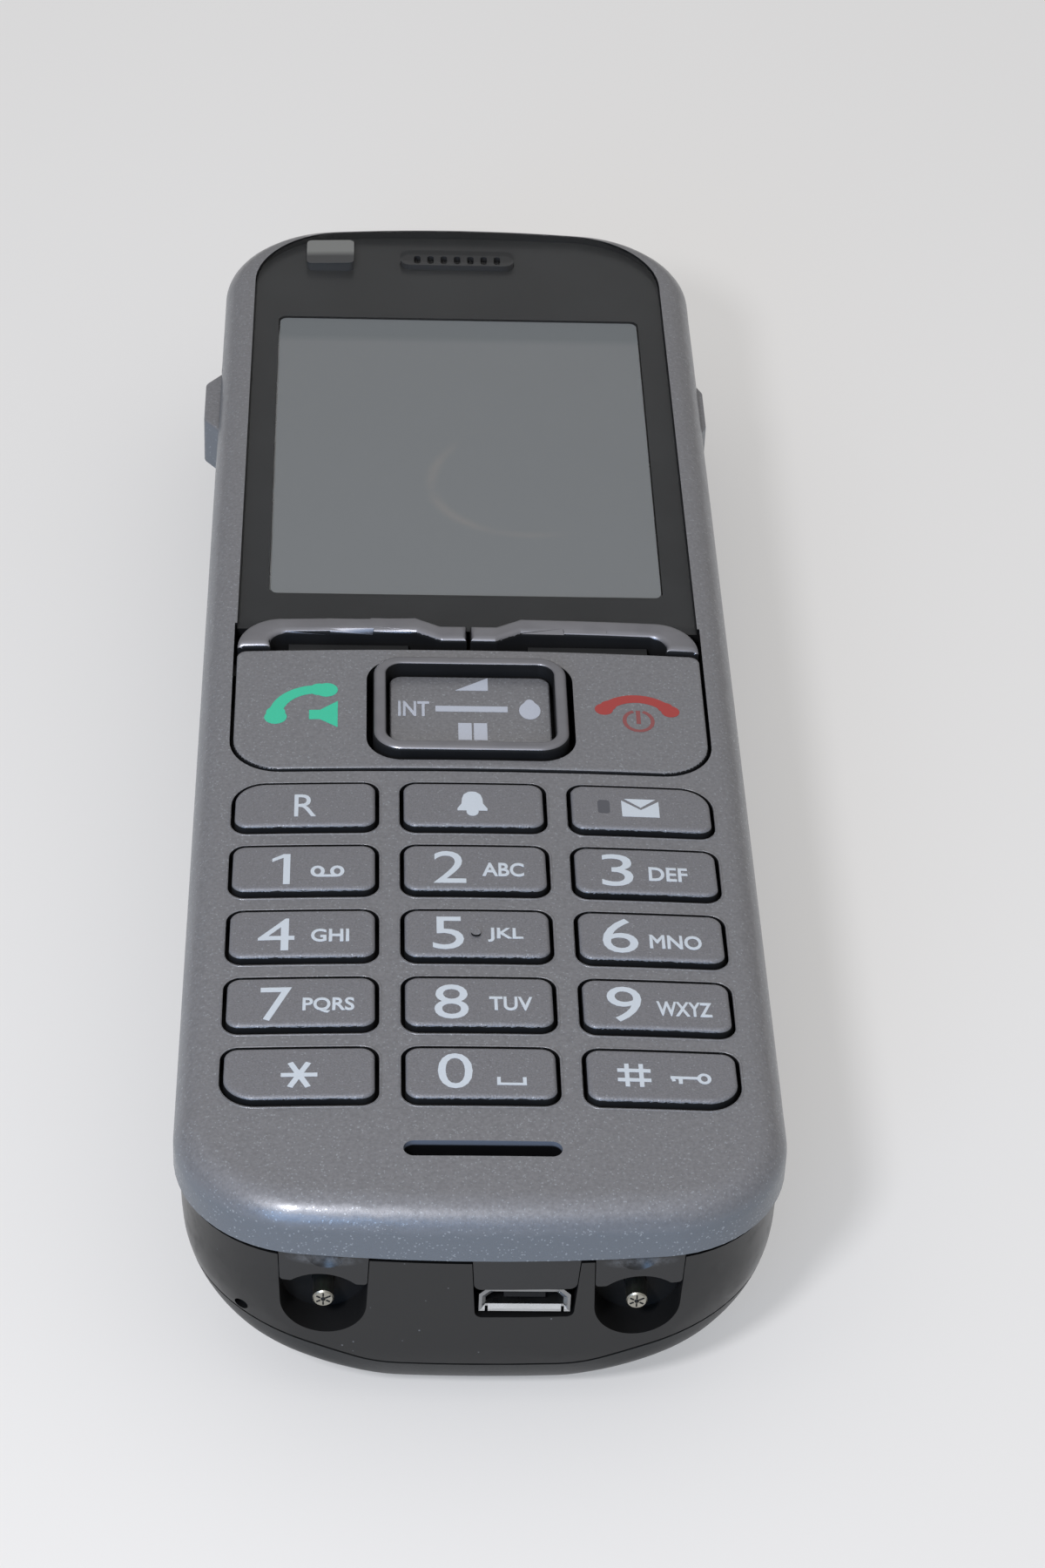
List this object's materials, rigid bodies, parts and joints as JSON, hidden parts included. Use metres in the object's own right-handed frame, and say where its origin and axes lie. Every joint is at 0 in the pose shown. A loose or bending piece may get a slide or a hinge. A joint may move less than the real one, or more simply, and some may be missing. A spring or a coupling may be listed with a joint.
{
  "type": "cordless phone handset",
  "caption": "Cordless telephone handset with a large display, a four-way key, softkeys, a number pad, charging contacts and a lift-off battery cover.",
  "frame": {"origin": "centre of the flat back that the handset lies on, half way along its length", "axes": "+Y along the handset towards the earpiece, +Z out of the keypad and display, +X to the right when the keys are read"},
  "size_m": [0.052, 0.156, 0.0241],
  "materials": {
    "lacquer_grey": "grey metallic lacquer on plastic",
    "shell_black": "black moulded plastic, satin",
    "mesh_black": "black moulded plastic, dull",
    "lens_clear": "clear polished plate",
    "light_guide": "milky light guide",
    "display_grey": "display panel, switched off",
    "flex_amber": "amber film",
    "silver": "silver plated plastic, satin",
    "steel": "bright sheet",
    "contact_metal": "plated spring metal",
    "flap_rubber": "soft, dull",
    "board_green": "glass-fibre board with solder mask",
    "dome_film": "clear film over metal domes",
    "cell_sleeve": "printed sleeve on a steel can",
    "speaker_black": "frame and cone"
  },
  "bodies": {
    "handset": {"front_cover": "lacquer_grey", "lower_housing": "shell_black", "display_lens": "lens_clear", "lamp_window": "light_guide", "display_frame": "steel", "display_panel": "display_grey", "display_flex": "flex_amber", "earpiece_mesh": "mesh_black", "earpiece_receiver": "shell_black", "softkey_bezel": "mesh_black", "end_insert": "mesh_black", "charging_contacts": "contact_metal", "usb_socket": "steel", "headset_socket": "mesh_black", "circuit_board": "board_green", "dome_sheet": "dome_film", "shield_can": "steel", "cell_left": "cell_sleeve", "cell_right": "cell_sleeve", "cell_contacts": "contact_metal", "case_screws": "steel", "loudspeaker": "speaker_black", "microphone": "steel", "microphone_boot": "flap_rubber", "vibration_motor": "steel", "antennas": "contact_metal"},
    "key_star": {"key_star": "lacquer_grey"},
    "key_0": {"key_0": "lacquer_grey"},
    "key_hash": {"key_hash": "lacquer_grey"},
    "key_7": {"key_7": "lacquer_grey"},
    "key_8": {"key_8": "lacquer_grey"},
    "key_9": {"key_9": "lacquer_grey"},
    "key_4": {"key_4": "lacquer_grey"},
    "key_5": {"key_5": "lacquer_grey"},
    "key_6": {"key_6": "lacquer_grey"},
    "key_1": {"key_1": "lacquer_grey"},
    "key_2": {"key_2": "lacquer_grey"},
    "key_3": {"key_3": "lacquer_grey"},
    "key_recall": {"key_recall": "lacquer_grey"},
    "key_ring": {"key_ring": "lacquer_grey"},
    "key_message": {"key_message": "lacquer_grey", "message_window": "light_guide"},
    "softkey_left": {"softkey_left": "silver"},
    "softkey_right": {"softkey_right": "silver"},
    "call_end_key": {"call_end_key": "lacquer_grey"},
    "nav_carrier": {"nav_carrier": "mesh_black"},
    "nav_frame": {"nav_frame": "silver"},
    "nav_plate": {"nav_plate": "lacquer_grey"},
    "volume_key": {"volume_key": "lacquer_grey"},
    "headset_flap": {"headset_flap": "flap_rubber"},
    "battery_cover": {"battery_cover": "shell_black"}
  },
  "joints": [
    {"name": "key_star_press", "type": "slide", "parent": "handset", "child": "key_star", "axis": [0, 0, -1], "range_m": [0, 0.00045], "stiffness_N_per_m": 900, "springref_m": -0.0003},
    {"name": "key_0_press", "type": "slide", "parent": "handset", "child": "key_0", "axis": [0, 0, -1], "range_m": [0, 0.00045], "stiffness_N_per_m": 900, "springref_m": -0.0003},
    {"name": "key_hash_press", "type": "slide", "parent": "handset", "child": "key_hash", "axis": [0, 0, -1], "range_m": [0, 0.00045], "stiffness_N_per_m": 900, "springref_m": -0.0003},
    {"name": "key_7_press", "type": "slide", "parent": "handset", "child": "key_7", "axis": [0, 0, -1], "range_m": [0, 0.00045], "stiffness_N_per_m": 900, "springref_m": -0.0003},
    {"name": "key_8_press", "type": "slide", "parent": "handset", "child": "key_8", "axis": [0, 0, -1], "range_m": [0, 0.00045], "stiffness_N_per_m": 900, "springref_m": -0.0003},
    {"name": "key_9_press", "type": "slide", "parent": "handset", "child": "key_9", "axis": [0, 0, -1], "range_m": [0, 0.00045], "stiffness_N_per_m": 900, "springref_m": -0.0003},
    {"name": "key_4_press", "type": "slide", "parent": "handset", "child": "key_4", "axis": [0, 0, -1], "range_m": [0, 0.00045], "stiffness_N_per_m": 900, "springref_m": -0.0003},
    {"name": "key_5_press", "type": "slide", "parent": "handset", "child": "key_5", "axis": [0, 0, -1], "range_m": [0, 0.00045], "stiffness_N_per_m": 900, "springref_m": -0.0003},
    {"name": "key_6_press", "type": "slide", "parent": "handset", "child": "key_6", "axis": [0, 0, -1], "range_m": [0, 0.00045], "stiffness_N_per_m": 900, "springref_m": -0.0003},
    {"name": "key_1_press", "type": "slide", "parent": "handset", "child": "key_1", "axis": [0, 0, -1], "range_m": [0, 0.00045], "stiffness_N_per_m": 900, "springref_m": -0.0003},
    {"name": "key_2_press", "type": "slide", "parent": "handset", "child": "key_2", "axis": [0, 0, -1], "range_m": [0, 0.00045], "stiffness_N_per_m": 900, "springref_m": -0.0003},
    {"name": "key_3_press", "type": "slide", "parent": "handset", "child": "key_3", "axis": [0, 0, -1], "range_m": [0, 0.00045], "stiffness_N_per_m": 900, "springref_m": -0.0003},
    {"name": "key_recall_press", "type": "slide", "parent": "handset", "child": "key_recall", "axis": [0, 0, -1], "range_m": [0, 0.00045], "stiffness_N_per_m": 900, "springref_m": -0.0003},
    {"name": "key_ring_press", "type": "slide", "parent": "handset", "child": "key_ring", "axis": [0, 0, -1], "range_m": [0, 0.00045], "stiffness_N_per_m": 900, "springref_m": -0.0003},
    {"name": "key_message_press", "type": "slide", "parent": "handset", "child": "key_message", "axis": [0, 0, -1], "range_m": [0, 0.00045], "stiffness_N_per_m": 900, "springref_m": -0.0003},
    {"name": "softkey_left_press", "type": "slide", "parent": "handset", "child": "softkey_left", "axis": [0, 0, -1], "range_m": [0, 0.0003], "stiffness_N_per_m": 900, "springref_m": -0.0003},
    {"name": "softkey_right_press", "type": "slide", "parent": "handset", "child": "softkey_right", "axis": [0, 0, -1], "range_m": [0, 0.0003], "stiffness_N_per_m": 900, "springref_m": -0.0003},
    {"name": "call_end_rock", "type": "hinge", "parent": "handset", "child": "call_end_key", "pos_m": [0, -0.01115, 0.0215], "axis": [0, 1, 0], "range_deg": [-1.2, 1.2], "stiffness_Nm_per_rad": 2},
    {"name": "nav_up_down_rock", "type": "hinge", "parent": "handset", "child": "nav_carrier", "pos_m": [0, -0.01115, 0.0203], "axis": [1, 0, 0], "range_deg": [-1.8, 1.8], "stiffness_Nm_per_rad": 0.3},
    {"name": "nav_left_right_rock", "type": "hinge", "parent": "nav_carrier", "child": "nav_frame", "pos_m": [0, -0.01115, 0.0203], "axis": [0, 1, 0], "range_deg": [-1.8, 1.8], "stiffness_Nm_per_rad": 0.3},
    {"name": "nav_plate_press", "type": "slide", "parent": "nav_frame", "child": "nav_plate", "axis": [0, 0, -1], "range_m": [0, 0.0003], "stiffness_N_per_m": 900, "springref_m": -0.0003},
    {"name": "volume_rock", "type": "hinge", "parent": "handset", "child": "volume_key", "pos_m": [-0.0241, 0.0454, 0.01745], "axis": [0, 0, 1], "range_deg": [-2.5, 2.5], "stiffness_Nm_per_rad": 0.3},
    {"name": "headset_flap_hinge", "type": "hinge", "parent": "handset", "child": "headset_flap", "pos_m": [0.02463, 0.0506, 0.01745], "axis": [0, 0, 1], "range_deg": [0, 80]},
    {"name": "battery_cover_lift", "type": "slide", "parent": "handset", "child": "battery_cover", "axis": [0, 0, -1], "range_m": [0, 0.02]}
  ]
}
